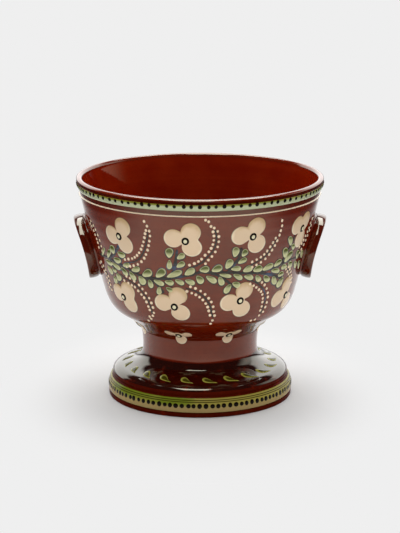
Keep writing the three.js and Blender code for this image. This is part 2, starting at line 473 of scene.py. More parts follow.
def brownColour(poolsAndShade=(), body="brown"):
    # brown glaze, darker where it pooled and where shade is painted, broken to brown where that is thin
    def colour(tree, surface):
        drift = smoothStep(tree, surface.outputs["Tone"], *grain["bodyDrift"])
        base = mixColour(tree, drift, paint(body + "Dark"), paint(body + "Warm"))
        even = mixColour(tree, grain["bodyShare"], base, paint(body))
        mixed = mixColour(tree, surface.outputs["Speck"], even, paint(body + "Dark"))
        coords = objectCoords(tree)
        level = axesOf(tree, coords)[2]
        radius = distanceOf(tree, coords, (1, 1, 0))
        thin = smoothStep(tree, noise(tree, coords, grain["poolShadeScale"], 3), *grain["poolShadeThin"])
        whole = calc(tree, "MULTIPLY_ADD", thin, -grain["poolShadeBreak"], 1)
        # each band darkens the glaze: pooled glaze on the lugs, painted shade on the bowl and the foot
        for low, high, soft, share, outside in poolsAndShade:
            pooled = calc(tree, "MULTIPLY", whole, share)
            for limit in (smoothStep(tree, radius, (outside - 1) * mm, outside * mm),
                          smoothStep(tree, level, (low - soft) * mm, low * mm),
                          smoothStep(tree, level, (high + soft) * mm, high * mm)):
                pooled = calc(tree, "MULTIPLY", pooled, limit)
            mixed = mixColour(tree, pooled, mixed, paint("brownPoolAndShade"))
        return mixed
    return colour


def leafColour(tree, surface):
    # a copper blot inside the pale rim, at the upper end
    edged = slipColour("leaf", "leafPale", halo="leafHalo", paleFrom=0.4, haloFrom=0.9)(tree, surface)
    edge, high, tone = attributes(tree, "edge", "high", "tone")
    wet = calc(tree, "MULTIPLY_ADD", tone, grain["blotWander"], high)
    blot = calc(tree, "MULTIPLY", smoothStep(tree, wet, *grain["blotHigh"]),
                smoothStep(tree, edge, *grain["blotEdge"]))
    return mixColour(tree, blot, edged, paint("leafBlot"))


def stemColour(tree, surface):
    pale = smoothStep(tree, surface.outputs["Tone"], *grain["stemPale"])
    return mixColour(tree, pale, paint("stem"), paint("stemPale"))


# slips of the two bands, and the lines cut round the foot's band while it was wet
bands = {
    "rimOlive": (213.9, 216),  # levels between which sage turns to olive, with the drift added
    "rimDrift": 3,
    "rimTopShade": (214.3, 214.8),  # where the band's top edge under the lip turns to painted shade
    "footOlive": (11.5, 16.5),
    "footDrift": 4,
    "runScale": 19,  # greener runs round the foot's band
    "runTurn": 1.9,
    "runs": (0.53, 0.72),
    "cutLevels": (15.3, 17.0),
    "cutWidth": 0.55,
    "cutCore": 0.3,  # share of the width that is fully dark
    "cutDepth": 0.2,
}


def olive(tree, surface, band, level):
    # share of the upper slip; the line between the two slips drifts with the tone of the glaze
    drift = calc(tree, "MULTIPLY_ADD", surface.outputs["Tone"], bands[band + "Drift"] * mm, level)
    return smoothStep(tree, drift, *(edge * mm for edge in bands[band + "Olive"]))


def rimBandColour(tree, surface):
    level = axesOf(tree, objectCoords(tree))[2]
    slips = mixColour(tree, olive(tree, surface, "rim", level), paint("sage"), paint("olive"))
    # painted shade along the band's top edge, in the crease under the lip
    brown = smoothStep(tree, level, *(edge * mm for edge in bands["rimTopShade"]))
    return mixColour(tree, brown, slips, paint("brownPoolAndShade"))


def footBandColour(tree, surface):
    # beige below and olive above with greener runs, and dark lines cut under the top edge
    coords = objectCoords(tree)
    level = axesOf(tree, coords)[2]
    turned = addNode(tree, "Mapping", {"Vector": coords, "Rotation": (0, 0, bands["runTurn"])})
    runs = smoothStep(tree, noise(tree, turned.outputs["Vector"], bands["runScale"], 2), *bands["runs"])
    upper = mixColour(tree, runs, paint("footOlive"), paint("moss"))
    body = mixColour(tree, olive(tree, surface, "foot", level), paint("beige"), upper)
    width = bands["cutWidth"] * mm
    for cutLevel in bands["cutLevels"]:
        near = calc(tree, "ABSOLUTE", calc(tree, "SUBTRACT", level, cutLevel * mm))
        dark = smoothStep(tree, near, width, bands["cutCore"] * width)
        body = mixColour(tree, dark, body, paint("cutLine"))
    return body


# darker bands of glaze, pooled on the lugs and painted shade elsewhere: lower and upper level, soft edge,
# share, and the radius that it lies outside
# painted shade on the bowl: the crease under the lip, the band just under the rim's band, and the underside
# above the neck
bowlShadeBands = [(215, 216.8, 0.5, 1, 116.5), (204, 208, 1.5, 0.45, 116.5), (66, 83.5, 1, 0.35, 0)]
lugPool = (0, bowl["totalHeight"], 1, 0.45, 0)
# painted shade in the crease under the lip, over the lip's lower face and the rim band's top edge
lipCreaseShade = (214.4, 217.1, 1, 0.7, 0)
# the foot below 43 mm is darkened: painted shade under the bowl, partly a darker glaze
footPoolAndShade = (-2, 43, 3, 1, 0)
edgePoolAndShade = (-2, 43, 3, 0.7, 0)

lugGlaze = glazed("lugGlaze", brownColour([lugPool]), bump=0.008)
bowlGlaze = glazed("bowlGlaze", brownColour(bowlShadeBands))
# glaze of the lip and band edge in that crease, painted in shade
creaseShadeGlaze = glazed("creaseShadeGlaze", brownColour([lipCreaseShade]), ior=glaze["edgeIor"])
# brighter inside of the bowl: painted light
litInsideGlaze = glazed("litInsideGlaze", brownColour(body="inside"), ior=glaze["softIor"], sheen="insideSheen")
# the foot's glazes carry that painted shade below 43 mm
neckGlaze = glazed("neckGlaze", brownColour([footPoolAndShade]), ior=glaze["neckIor"])
footGlaze = glazed("footGlaze", brownColour([footPoolAndShade]))
edgeGlaze = glazed("edgeGlaze", brownColour([edgePoolAndShade]), ior=glaze["edgeIor"])
jointSlip = glazed("jointSlip", toneColour("brownDark", "brown"))
petalSlip = glazed("petalSlip", slipColour("cream", "creamPale", paleFrom=0.86, haloFrom=0.95, tanShare=0.85))
dotSlip = glazed("dotSlip", slipColour("dotCream", "creamPale", haloFrom=0.9))
lineSlip = glazed("lineSlip", toneColour("cream", "creamPale"))
leafSlip = glazed("leafSlip", leafColour)
footLeafSlip = glazed("footLeafSlip", slipColour("footLeaf", "footLeafPale", paleFrom=0.55),
                      ior=glaze["dullIor"])
stemSlip = glazed("stemSlip", stemColour, ior=glaze["softIor"])
inkSlip = glazed("inkSlip", slipColour("ink", "ink", halo="ink"), ior=glaze["dullIor"])
eyeSlip = glazed("eyeSlip", slipColour("eye", "creamPale", halo="ink", haloFrom=0.8))
rimSlip = glazed("rimSlip", rimBandColour)
footSlip = glazed("footSlip", footBandColour, ior=glaze["dullIor"])
print("materials ready:", len(bpy.data.materials))


# bowl
def makeBowl():
    outline = [Vector((0, baseLevel)), *throwRings(skin[neckTop:])]
    middle = rimWall - (bowl["wallThickness"] - bowl["lipOverhang"]) / 2
    sweep(outline, bowl["rimRadius"], lipLevel + bowl["lipDepth"] / 2, (0.6, 0.1), (1, 0.6), 8)
    sweep(outline, middle, bowl["totalHeight"], (0, 0.6), (0.5, 1), 10)
    sweep(outline, rimInside, lipLevel, (0.6, 0), (1, 0.4), 10)
    inside = [outline[-1]]
    sweep(inside, bellyRadius - bowl["wallThickness"], bellyLevel, (0.29, 0.33), (0.63, 0.67), 56)
    sweep(inside, 0, baseLevel + bowl["floorThickness"], (0.1, 0.68), (0.3, 1), 44)
    outline.extend(inside[1:])
    shape = turnOutline(outline, bowl["segments"])
    for face in shape.faces:
        centre = face.calc_center_median() / mm
        if centre.xy.length > middle:
            # the lip's lower face in the crease takes the painted shade
            face.material_index = 2 * int(lipCreaseShade[0] < centre.z < lipCreaseShade[1])
        elif centre.xy.length < rimInside:
            # the inside looks up, the outside down
            face.material_index = int(face.normal.z > 0.05)
    return finishPiece(shape, "bowlBody", [bowlGlaze, litInsideGlaze, creaseShadeGlaze], ["bowl"])


# foot
def makeFoot():
    restInside = foot["radius"] - foot["restWidth"]
    ease = foot["edgeEase"]
    outline = [Vector((restInside, foot["hollowShoulder"])), Vector((restInside, ease))]
    lineTo(outline, restInside + ease, 0)
    lineTo(outline, foot["radius"] - ease, 0)
    sweep(outline, foot["radius"], ease, (0.6, 0), (1, 0.4), 5)
    lineTo(outline, foot["radius"], foot["stripHeight"] - foot["stripEase"])
    sweep(outline, seatRadius, foot["stripHeight"], (0, 0.7), (0.3, 1), 4)
    outline.extend(bandSeat[1:])
    outline.extend(skin[:neckTop])
    lineTo(outline, foot["neckRadius"] - foot["wall"], foot["height"])
    lineTo(outline, waistRadius - foot["wall"], waistLevel)
    sweep(outline, restInside, foot["hollowShoulder"], (0, 0.55), (0.8, 0.7))
    shape = turnOutline(outline, foot["segments"])
    for face in shape.faces:
        level = face.calc_center_median().z / mm
        face.material_index = 2 if level < foot["dullBelow"] else int(level > footPoolAndShade[1])
    return finishPiece(shape, "footBody", [footGlaze, neckGlaze, edgeGlaze], ["foot"])


def makeSeam():
    inner = foot["neckRadius"] - seam["width"]
    outline = [Vector((inner, foot["height"])), Vector((foot["neckRadius"], foot["height"]))]
    beadLevel = foot["height"] + seam["thickness"] / 2
    sweep(outline, foot["neckRadius"] + seam["bead"], beadLevel, (0.8, 0), (1, 0.6), 3)
    sweep(outline, foot["neckRadius"], baseLevel, (0, 0.4), (0.2, 1), 3)
    lineTo(outline, inner, baseLevel)
    lineTo(outline, inner, foot["height"])
    shape = turnOutline(outline, foot["segments"])
    return finishPiece(shape, "neckSeam", [jointSlip], ["neck_lute"])


bowlBody = makeBowl()
makeFoot()
makeSeam()
wallTree = BVHTree.FromObject(bowlBody, bpy.context.evaluated_depsgraph_get())
print("bowl, foot and seam thrown")

# disc lugs and the clay that joins them on
lug = {
    "drop": 65.7,  # from the lip down to the centre of the disc
    "radius": 32,
    "thickness": 9.4,
    "backEdge": 0.7,  # rounding of the edge at the wall
    "frontEdge": 1.1,
    "crown": 0.36,  # swell of the rim of the disc
    "dish": 1.1,  # hollow of the outer face
    "dishFlat": 0.5,  # its flat middle, as a share of the radius
    "padRadius": 30.6,
    "padThickness": 1.6,
    "padSmear": 1.5,  # how far the joining clay is smeared out onto the wall
    "padSink": 0.4,
    "segments": 128,
}
lugBack = 2 * seam["seatGap"] + lug["padThickness"]


def turnOntoWall(outline, angle):
    # a piece turned about Z comes to stand on the wall: its Z looks out of the wall and its Y up it
    shape = turnOutline(outline, lug["segments"])
    length = lengthAt(skin, lipLevel - lug["drop"])
    for vert in shape.verts:
        across, upward, out = vert.co / mm
        turn = angle + across / skinAt(skin, length + upward)[0].x
        vert.co = onSkin(skin, turn, length + upward, out)
    return shape


def makeLug(name, angle):
    front = lugBack + lug["thickness"]
    edge = lug["radius"]
    outline = [Vector((0, lugBack))]
    side = edge - lug["crown"]
    sweep(outline, side - lug["backEdge"], lugBack, (0.3, 0), (0.7, 0), 8)
    sweep(outline, side, lugBack + lug["backEdge"], (0.6, 0), (0.9, 0.6), 5)
    sweep(outline, edge, (lugBack + front) / 2, (0.5, 0.3), (1, 0.7), 8)
    sweep(outline, side, front - lug["frontEdge"], (0, 0.3), (0.5, 0.7), 8)
    sweep(outline, side - lug["frontEdge"], front, (0.1, 0.4), (0.4, 1), 8)
    sweep(outline, edge * lug["dishFlat"], front - lug["dish"], (0.3, 0.3), (0.6, 1), 10)
    sweep(outline, 0, front - lug["dish"], (0.3, 0), (0.7, 0), 5)
    shape = turnOntoWall(outline, angle)
    return finishPiece(shape, "lug" + name.title(), [lugGlaze], ["lug_" + name])


def makePad(name, angle):
    edge = lug["padRadius"]
    outline = [Vector((0, lugBack))]
    sweep(outline, edge, lugBack, (0.3, 0), (0.7, 0), 8)
    sweep(outline, edge + lug["padSmear"], 0, (0.05, 0.6), (0.4, 0.95), 8)
    lineTo(outline, edge + lug["padSmear"], -lug["padSink"])
    sweep(outline, 0, -lug["padSink"], (0.3, 0), (0.7, 0), 8)
    shape = turnOntoWall(outline, angle)
    return finishPiece(shape, "lugPad" + name.title(), [jointSlip], ["lug_pad_" + name])


for name, angle in (("left", -math.pi / 2), ("right", math.pi / 2)):
    makeLug(name, angle)
    makePad(name, angle)
print("lugs joined on")

# rings of slip
rings = {
    "thickness": 0.9,
    "roundness": 0.6,
    "sink": 0.3,  # how far a ring reaches into the wall
    "rimBand": (208.1, 215),  # lower and upper level of each ring
    "rimLine": (202.4, 203.6),
    "footBand": (4.7, 18.6),
    "footBandThickness": 1.2,
    "rimDots": (96, 212.6, 1.9, 0.14),  # count, level, size and wander of the dots on each band
    "footDots": (97, 11.4, 2.45, 0.13),
    "dotHeight": 0.5,
    "dotSizes": (0.88, 1.1),  # smallest and largest, as shares of the size
    "dotStretch": (0.9, 1.1),
    "dotSeat": 0.85,  # level of the dots on a ring, as a share of its thickness
}


def makeRing(name, outline, thickness, materials, replaced, cuts=(), steps=12, crisp=3.2):
    first, last = (lengthAt(outline, level) for level in rings[name])
    outside = []
    under = []
    for step in range(steps + 1):
        share = step / steps
        point, normal = skinAt(outline, first + share * (last - first))
        crown = thickness * (1 - abs(2 * share - 1) ** crisp) ** rings["roundness"]
        for level in cuts:
            crown -= bands["cutDepth"] * math.exp(-((point.y - level) / bands["cutWidth"]) ** 2)
        outside.append(point + normal * max(crown, 0))
        under.append(point - normal * rings["sink"])
    shape = turnOutline(outside + under[::-1] + outside[:1], bowl["segments"])
    for face in shape.faces:
        # the top edge of the rim's band lies in the painted shade under the lip
        face.material_index = int(face.calc_center_median().z > lipCreaseShade[0] * mm)
    return finishPiece(shape, name, materials, replaced)


makeRing("rimBand", skin, rings["thickness"], [rimSlip, creaseShadeGlaze], ["rim_band"])
makeRing("rimLine", skin, rings["thickness"], [lineSlip], ["rim_line"])
makeRing("footBand", bandSeat, rings["footBandThickness"], [footSlip], ["foot_band"],
         cuts=bands["cutLevels"], steps=48, crisp=12)
print("bands and line laid")


# slip drops
drops = {"roundness": 2.6, "sink": 0.4}  # sink is how far a drop reaches into the skin


def newSlip():
    shape = bmesh.new()
    for label in ("edge", "high", "tone"):
        shape.verts.layers.float.new(label)
    return shape


ballMeshes = {}


def ballMesh(segments, rounds):
    # unit ball that every drop of that fineness starts from
    if (segments, rounds) not in ballMeshes:
        shape = bmesh.new()
        bmesh.ops.create_uvsphere(shape, u_segments=segments, v_segments=rounds, radius=1)
        ballMeshes[segments, rounds] = toMesh(shape, f"ball{segments}x{rounds}")
    return ballMeshes[segments, rounds]


def layDrop(shape, outline, spot, spread, height, segments=10, rounds=6, material=0, base=0.0, tone=None,
            up=(0, 1)):
    # a flattened ball bent onto a skin: spread(x, y) gives the place on the wall of a point in the unit disc
    edge, high, toneLayer = (shape.verts.layers.float[label] for label in ("edge", "high", "tone"))
    dropTone = chance.random() if tone is None else tone
    vertsBefore = len(shape.verts)
    facesBefore = len(shape.faces)
    shape.from_mesh(ballMesh(segments, rounds))
    shape.verts.ensure_lookup_table()
    shape.faces.ensure_lookup_table()
    angle, length = spot
    for vert in shape.verts[vertsBefore:]:
        x, y, z = vert.co
        share = min(1, math.hypot(x, y))
        across, upward = spread(x, y)
        crown = max(0, 1 - share ** drops["roundness"]) ** 0.5
        lift = base + (height if z > 0 else -drops["sink"]) * crown
        turn = angle + across / skinAt(outline, length + upward)[0].x
        vert.co = onSkin(outline, turn, length + upward, lift)
        vert[edge] = share
        vert[high] = (x * up[0] + y * up[1] + 1) / 2
        vert[toneLayer] = dropTone
    for face in shape.faces[facesBefore:]:
        face.material_index = material


def roundDrop(radius, stretch):
    return lambda x, y: (radius * x, radius * stretch * y)


def makeDotRing(ring, outline, thickness):
    count, level, size, wander = rings[ring]
    seat = rings["dotSeat"] * thickness
    shape = newSlip()
    for index in range(count):
        angle = math.tau * (index + wander * chance.uniform(-1, 1)) / count
        length = lengthAt(outline, level + wander * chance.uniform(-1, 1))
        radius = size * chance.uniform(*rings["dotSizes"])
        spread = roundDrop(radius, chance.uniform(*rings["dotStretch"]))
        layDrop(shape, outline, (angle, length), spread, rings["dotHeight"], base=seat)
    return finishPiece(shape, ring, [inkSlip])


makeDotRing("rimDots", skin, rings["thickness"])
makeDotRing("footDots", bandSeat, rings["footBandThickness"])


def wallAt(x, y):
    # angle and length on the skin of the place that a pixel of the photograph shows
    across = (x - photo["width"] / 2) / photo["focal"]
    upward = (photo["height"] / 2 - y) / photo["focal"]
    hit = None
    while hit is None:
        ray = camera.matrix_world.to_3x3() @ Vector((across, upward, -1))
        hit = wallTree.ray_cast(camera.location, ray.normalized())[0]
        across *= 0.995  # a pixel past the edge is drawn in to it
    return math.atan2(hit.x, -hit.y), lengthAt(skin, hit.z / mm)


def offsetOn(spot, place):
    # from one place on the wall to another, as millimetres across and up
    middle = skinAt(skin, (spot[1] + place[1]) / 2)[0].x
    return Vector(((place[0] - spot[0]) * middle, place[1] - spot[1]))


sides = (("Front", 0), ("Back", math.pi))


def layBothSides(shape, spot, spread, height, **settings):
    # the back repeats what the photograph shows of the front
    for _, turn in sides:
        layDrop(shape, skin, (spot[0] + turn, spot[1]), spread, height, **settings)


# three-lobed flowers; each has its eye and lobes in pixels of the photograph, and how sharply the lobes part
flowers = {
    "height": 0.9,
    "core": 5,
    "eyeRing": 3.6,
    "eyeRingStretch": 1.1,
    "eyeRingHeight": 0.5,
    "eye": 1.9,
    "eyeStretch": 1.15,
    "eyeHeight": 0.4,
    "eyeRise": 0.35,  # of the eye above the foot of its ring
    "upper": {"lobeRadius": 9.6, "flowers": [
        ((119.4, 236), [(112.2, 234.6), (122.4, 226.6), (125.2, 244.5)], 5),
        ((185.4, 241), [(173.2, 238.2), (190.9, 232.2), (192, 247.6)], 8),
        ((252.8, 236.4), [(240.7, 235.6), (257, 226.3), (256.8, 243.9)], 8),
        ((301.5, 228), [(297.6, 225.4), (305.6, 220.4), (299.8, 238.4)], 14),
    ]},
    "lower": {"lobeRadius": 9.2, "flowers": [
        ((124.3, 296.6), [(118.8, 291.8), (128, 290.2), (130.6, 304.3)], 5),
        ((174.6, 306.6), [(163.2, 302.4), (178, 295.3), (180.7, 313)], 20),
        ((239.9, 300.4), [(229, 302.6), (244.6, 290.2), (241.4, 309)], 20),
        ((284.6, 294.6), [(277, 298.7), (286.8, 284.4), (285.6, 300.6)], 14),
    ]},
}


def petalReach(lobes, radii, parting):
    # how far the joined lobes reach from the flower's eye in a direction
    def reach(direction):
        far = flowers["core"] ** parting
        for lobe, radius in zip(lobes, radii):
            along = lobe.dot(direction)
            beside = lobe.length_squared - along ** 2
            if along > 0 and beside < radius ** 2:
                far += (along + math.sqrt(radius ** 2 - beside)) ** parting
        return far ** (1 / parting)
    return reach


def layFlower(shape, spot, reach, eyeScale=1.0):
    def spread(x, y):
        share = math.hypot(x, y)
        if share < 1e-6:
            return 0, 0
        direction = Vector((x, y)) / share
        return direction * reach(direction) * share
    top = flowers["height"]
    layDrop(shape, skin, spot, spread, top, segments=72, rounds=12)
    ring = roundDrop(flowers["eyeRing"] * eyeScale, flowers["eyeRingStretch"])
    layDrop(shape, skin, spot, ring, flowers["eyeRingHeight"], segments=20, material=1, base=top)
    eye = roundDrop(flowers["eye"] * eyeScale, flowers["eyeStretch"])
    eyeBase = top + flowers["eyeRise"]
    layDrop(shape, skin, spot, eye, flowers["eyeHeight"], segments=16, material=2, base=eyeBase)


for row in ("upper", "lower"):
    for number, (eye, pixels, parting) in enumerate(flowers[row]["flowers"], 1):
        spot = wallAt(*eye)
        lobes = [offsetOn(spot, wallAt(*pixel)) for pixel in pixels]
        reach = petalReach(lobes, [flowers[row]["lobeRadius"]] * 3, parting)
        for side, turn in sides:
            shape = newSlip()
            layFlower(shape, (spot[0] + turn, spot[1]), reach)
            finishPiece(shape, f"{row}Flower{side}{number}", [petalSlip, inkSlip, eyeSlip],
                        [f"{row}_blossom_{side.lower()}_{number}"])
print("flowers laid")

# leaves of the garland: pixel of the middle, length and width in pixels, and direction of the broad end
# in degrees
garland = {
    "leafHeight": 0.75,
    "leafScale": 1.08,  # the photograph shows a leaf within its dark rim
    "leafTaper": 0.6,
    "underlay": (1.12, 1.3),  # the dark slip under a leaf, also its painted shadow, as shares of its length and width
    # set down below the leaf so that it shows as a painted shadow under it
    "underlayShadowDrop": 0.4,
    "underlayHeight": 0.15,
    "stemHeight": 0.4,
    "stemWidth": 1.8,
    "stemWidths": (0.8, 1.25),  # narrowest and widest, as shares of it
    "stemStep": 5.5,
    "stemLap": 0.85,  # half length of a stem's drop, as a share of the step
    "stemTaper": 0.8,
    "leaves": [
        (112.7, 249.6, 9, 5, 110), (108.9, 253.6, 8.5, 4.3, 80), (121.2, 254.5, 8.5, 6, -35),
        (117.2, 260.1, 8, 6, -35), (109.2, 262.3, 9, 4, -40), (116.3, 266.1, 10.5, 4, -40),
        (126.3, 265.2, 6.7, 6, 0), (135.7, 269.5, 8, 6.5, 10), (124.6, 271.5, 10, 4.5, -55),
        (132.6, 275.9, 10.5, 5, -55), (147.1, 273.5, 9.8, 9, 25), (142, 280.2, 10, 7, -55),
        (150.5, 283.5, 9, 5.5, -70), (103.3, 251.6, 8, 3, 80), (110.3, 269.9, 10, 3.5, -60),
        (114.5, 270.1, 6, 3, -50), (118.8, 277, 8, 5, -65), (115.6, 279.7, 8, 3.5, -70),
        (169.3, 252.9, 9.4, 9, 90), (180.8, 256.5, 8.5, 6.7, 30), (169.4, 264.6, 9, 6, -90),
        (180.6, 264.8, 9, 6.5, 30), (160.5, 273.3, 11, 9, 40), (174.3, 274.2, 15.5, 7, 20),
        (189.7, 271.9, 11, 8, 30), (204.5, 269.5, 9.5, 8, 10), (158.9, 282.5, 11, 5.5, -25),
        (169.3, 282.5, 9, 6, -15), (179.6, 282, 9.5, 5.5, -25), (190, 282, 10, 6, -20),
        (199.8, 279.5, 9, 8, -50), (217, 268.8, 11, 8, 25), (229, 264.1, 10.5, 8, 55),
        (235.7, 252.1, 9.8, 8, 75), (244.6, 253, 8, 6.5, 55), (242.4, 260.8, 9.5, 5.5, 30),
        (235.9, 268.6, 10, 6, 5), (247.8, 269.2, 10, 7, 25), (211.4, 279.3, 11.5, 7, -30),
        (221, 281, 9, 7, -70), (225.4, 275.5, 12, 4.5, -8), (237.9, 276.6, 9.5, 6, -25),
        (248.7, 277.1, 9, 6.5, -10), (227.8, 288.5, 11, 6.5, -125), (236.3, 284.6, 8, 7, -20),
        (257.8, 269, 9.5, 7.5, 25), (267.9, 267.2, 12, 6, 30), (277.7, 263, 10, 5, 45),
        (285.3, 252.7, 10, 6, 80), (290.4, 240.9, 9, 5, 90), (293.1, 246.7, 6, 4, 80),
        (288.4, 256.5, 14, 5, 55), (297.3, 254.3, 9, 3.5, 75), (301.6, 253.8, 8, 3, 80),
        (275.4, 270.6, 8, 6, 5), (283.7, 267, 6.5, 5, 40), (290, 264.6, 7, 4.5, 80),
        (295.1, 264.6, 7.5, 3.5, 80), (298.7, 264.6, 8.5, 2.5, 80), (258, 278.4, 7, 6.5, -60),
        (266.3, 278.4, 7, 7, -60), (273.9, 280.2, 8.5, 6, -85), (280.6, 274.2, 7, 4.5, 40),
        (280, 282, 12, 5, -120), (159.3, 290.5, 8, 6, -90), (169.7, 289.6, 8, 5, -30),
    ],
    "stems": [
        [(101.6, 254.7), (107.5, 257.3), (124, 266.4), (138, 274.7), (151.4, 278), (163, 278.8),
         (173.8, 278), (188, 275.5), (200.4, 272.2), (221.6, 272.2), (250, 273), (258.9, 272.8),
         (272.3, 268.1), (280.4, 264.6), (287.9, 260.5), (293.8, 258.1), (298.7, 256.5)],
        [(170, 278), (174, 270), (176, 260), (177, 250)],
        [(229, 271), (235, 264), (239, 258), (241.5, 248)],
        [(280, 264), (283, 259.6), (288.8, 248.9), (292.9, 241.8), (294, 237.8)],
        [(258, 273), (265, 273.6), (271.4, 274.8), (279, 277.5), (282, 279)],
        [(148, 279), (153, 281), (157.5, 285), (163, 292)],
        [(213, 274), (221, 276), (228, 282), (234, 288)],
        [(110, 258.5), (115, 253), (118, 247)],
        [(110, 259), (113, 266), (117, 273), (119, 280)],
    ],
}


def pixelStep(length, direction):
    turn = math.radians(direction)
    return Vector((math.cos(turn), -math.sin(turn))) * length


def leafSpread(half, beside, taper, bend=0.0):
    # drop shape: narrow where it starts, broad where it ends
    def spread(x, y):
        share = (x + 1) / 2
        width = taper + (1 - taper) * share * share * (3 - 2 * share)
        return half * x + beside * (y * width + bend * (1 - x * x))
    return spread


def walkPath(pixels, step):
    # even steps along a line drawn through pixels, as places on the wall with the direction of travel
    places = [wallAt(*pixel) for pixel in pixels]
    walked = []
    left = 0.0
    for first, second in zip(places, places[1:]):
        move = offsetOn(first, second)
        while left < move.length:
            share = left / move.length
            spot = (first[0] + share * (second[0] - first[0]), first[1] + share * (second[1] - first[1]))
            walked.append((spot, move.normalized()))
            left += step
        left -= move.length
    return walked


def halfSpan(spot, middle, step):
    # a step in pixels to either side of a place, as millimetres on the wall
    ends = [offsetOn(spot, wallAt(*(middle + step * side))) for side in (1, -1)]
    return (ends[0] - ends[1]) / 2


leafShape = newSlip()
stemShape = newSlip()
for x, y, length, width, direction in garland["leaves"]:
    middle = Vector((x, y))
    spot = wallAt(x, y)
    half = halfSpan(spot, middle, pixelStep(length * garland["leafScale"] / 2, direction))
    beside = halfSpan(spot, middle, pixelStep(width * garland["leafScale"] / 2, direction + 90))
    tone = chance.random()
    up = Vector((half.y, beside.y)).normalized()
    leaf = leafSpread(half, beside, garland["leafTaper"])
    layBothSides(leafShape, spot, leaf, garland["leafHeight"], segments=18, rounds=8, tone=tone, up=up)
    # dark slip under each leaf, set lower as a painted shadow; it also fills the dark slip between the leaves
    longer, wider = garland["underlay"]
    under = leafSpread(half * longer, beside * wider, garland["leafTaper"])
    lowered = (spot[0], spot[1] - garland["underlayShadowDrop"])
    layBothSides(stemShape, lowered, under, garland["underlayHeight"], segments=14)
finishPiece(leafShape, "garlandLeaves", [leafSlip])

for pixels in garland["stems"]:
    for spot, heading in walkPath(pixels, garland["stemStep"]):
        half = heading * garland["stemStep"] * garland["stemLap"]
        width = garland["stemWidth"] * chance.uniform(*garland["stemWidths"])
        beside = Vector((-heading.y, heading.x)) * width
        stem = leafSpread(half, beside, garland["stemTaper"])
        layBothSides(stemShape, spot, stem, garland["stemHeight"], segments=12)
finishPiece(stemShape, "garlandStems", [stemSlip])
print("garland laid:", len(garland["leaves"]), "leaves a side")

# sprays: two rows of dots beside a thin stem, with a few dots at the tip; late is how many dots are left
# out at the start of the rows to the left and to the right of the path
sprays = {
    "dot": 1.5,
    "dotSizes": (0.88, 1.08),  # smallest and largest, as shares of it
    "dotStretch": 1.08,
    "dotHeight": 0.8,
    "tipDot": 0.95,  # size of the dots at the tip, as a share of the others
    "tipStretch": 1.15,
    "step": 4.9,
    "stagger": 0.8,  # how far one row is set ahead and the other back
    "narrowing": 0.4,  # how much closer the rows stand at the tip
    "stem": 0.95,
    "stemHeight": 0.35,
    "stemLap": 0.75,
    "stemTaper": 0.8,
    "rows": [
        {"spread": 3.6, "tip": [],
         "path": [(100.8, 249), (99.5, 243), (97.5, 237), (95, 230.5), (92.5, 225), (90.5, 221.5)]},
        {"spread": 3.7, "tip": [(149.2, 231), (146, 230.4), (147, 226), (144.1, 221.3)],
         "path": [(126, 263), (134.5, 261.8), (138.5, 259.5), (141.5, 256), (144.5, 250), (146, 244.5),
                  (146.9, 239.8), (147.6, 235), (147.3, 231.3)]},
        {"spread": 3.0, "late": (0, 3), "tip": [(214.2, 227.9), (211, 226.3), (208.7, 221.7), (205.6, 220)],
         "path": [(190, 268), (196, 266), (202.7, 262.3), (206.7, 257.6), (211.6, 252.9), (214.8, 247.3),
                  (216.2, 242), (216.5, 237), (215.5, 231.8), (214.4, 229.6)]},
        {"spread": 2.7, "tip": [(279.4, 235), (280.6, 230.6), (282, 225.7), (282, 220.6)],
         "path": [(252, 264.5), (258.5, 261), (263.2, 258), (267.2, 254), (270.2, 249.6), (273.5, 244.6),
                  (276.5, 239.1), (278.7, 235.4)]},
        {"spread": 3.6, "tip": [(312, 218.5)],
         "path": [(299, 250), (302.7, 243.8), (305.6, 237.5), (308.4, 230.6), (310.8, 223.5)]},
        {"spread": 2.6, "tip": [],
         "path": [(101, 262), (104, 268), (107.5, 274.5), (109, 281), (110.8, 287), (112, 292)]},
        {"spread": 3.3, "late": (1, 1), "tip": [(153, 315.6), (149.8, 316.4), (151.4, 318.6), (148.8, 320.4)],
         "path": [(122, 275.5), (126, 278.7), (131, 281.5), (137, 285.8), (142, 291.5), (146.2, 296.7),
                  (148.8, 301.8), (150.8, 307), (152, 311.2), (152, 315)]},
        {"spread": 3.0, "tip": [(212.4, 320.3), (210.5, 323.6)],
         "path": [(188.7, 289), (195.6, 291.3), (200.4, 294), (205, 298), (209.1, 303.5), (210.8, 307.9),
                  (211.3, 312), (212.3, 315.5)]},
        {"spread": 3.6, "late": (1, 0), "tip": [(258.9, 315.3), (254.7, 319.3), (250.7, 320.5)],
         "path": [(252.5, 281), (257, 283), (260, 285.6), (263.2, 288.8), (264.8, 293), (265.2, 298.1),
                  (264.3, 302.9), (262.9, 308), (261.2, 311.6)]},
        {"spread": 1.8, "tip": [],
         "path": [(287, 268), (289.5, 273), (290.5, 279), (290, 285)]},
    ],
}

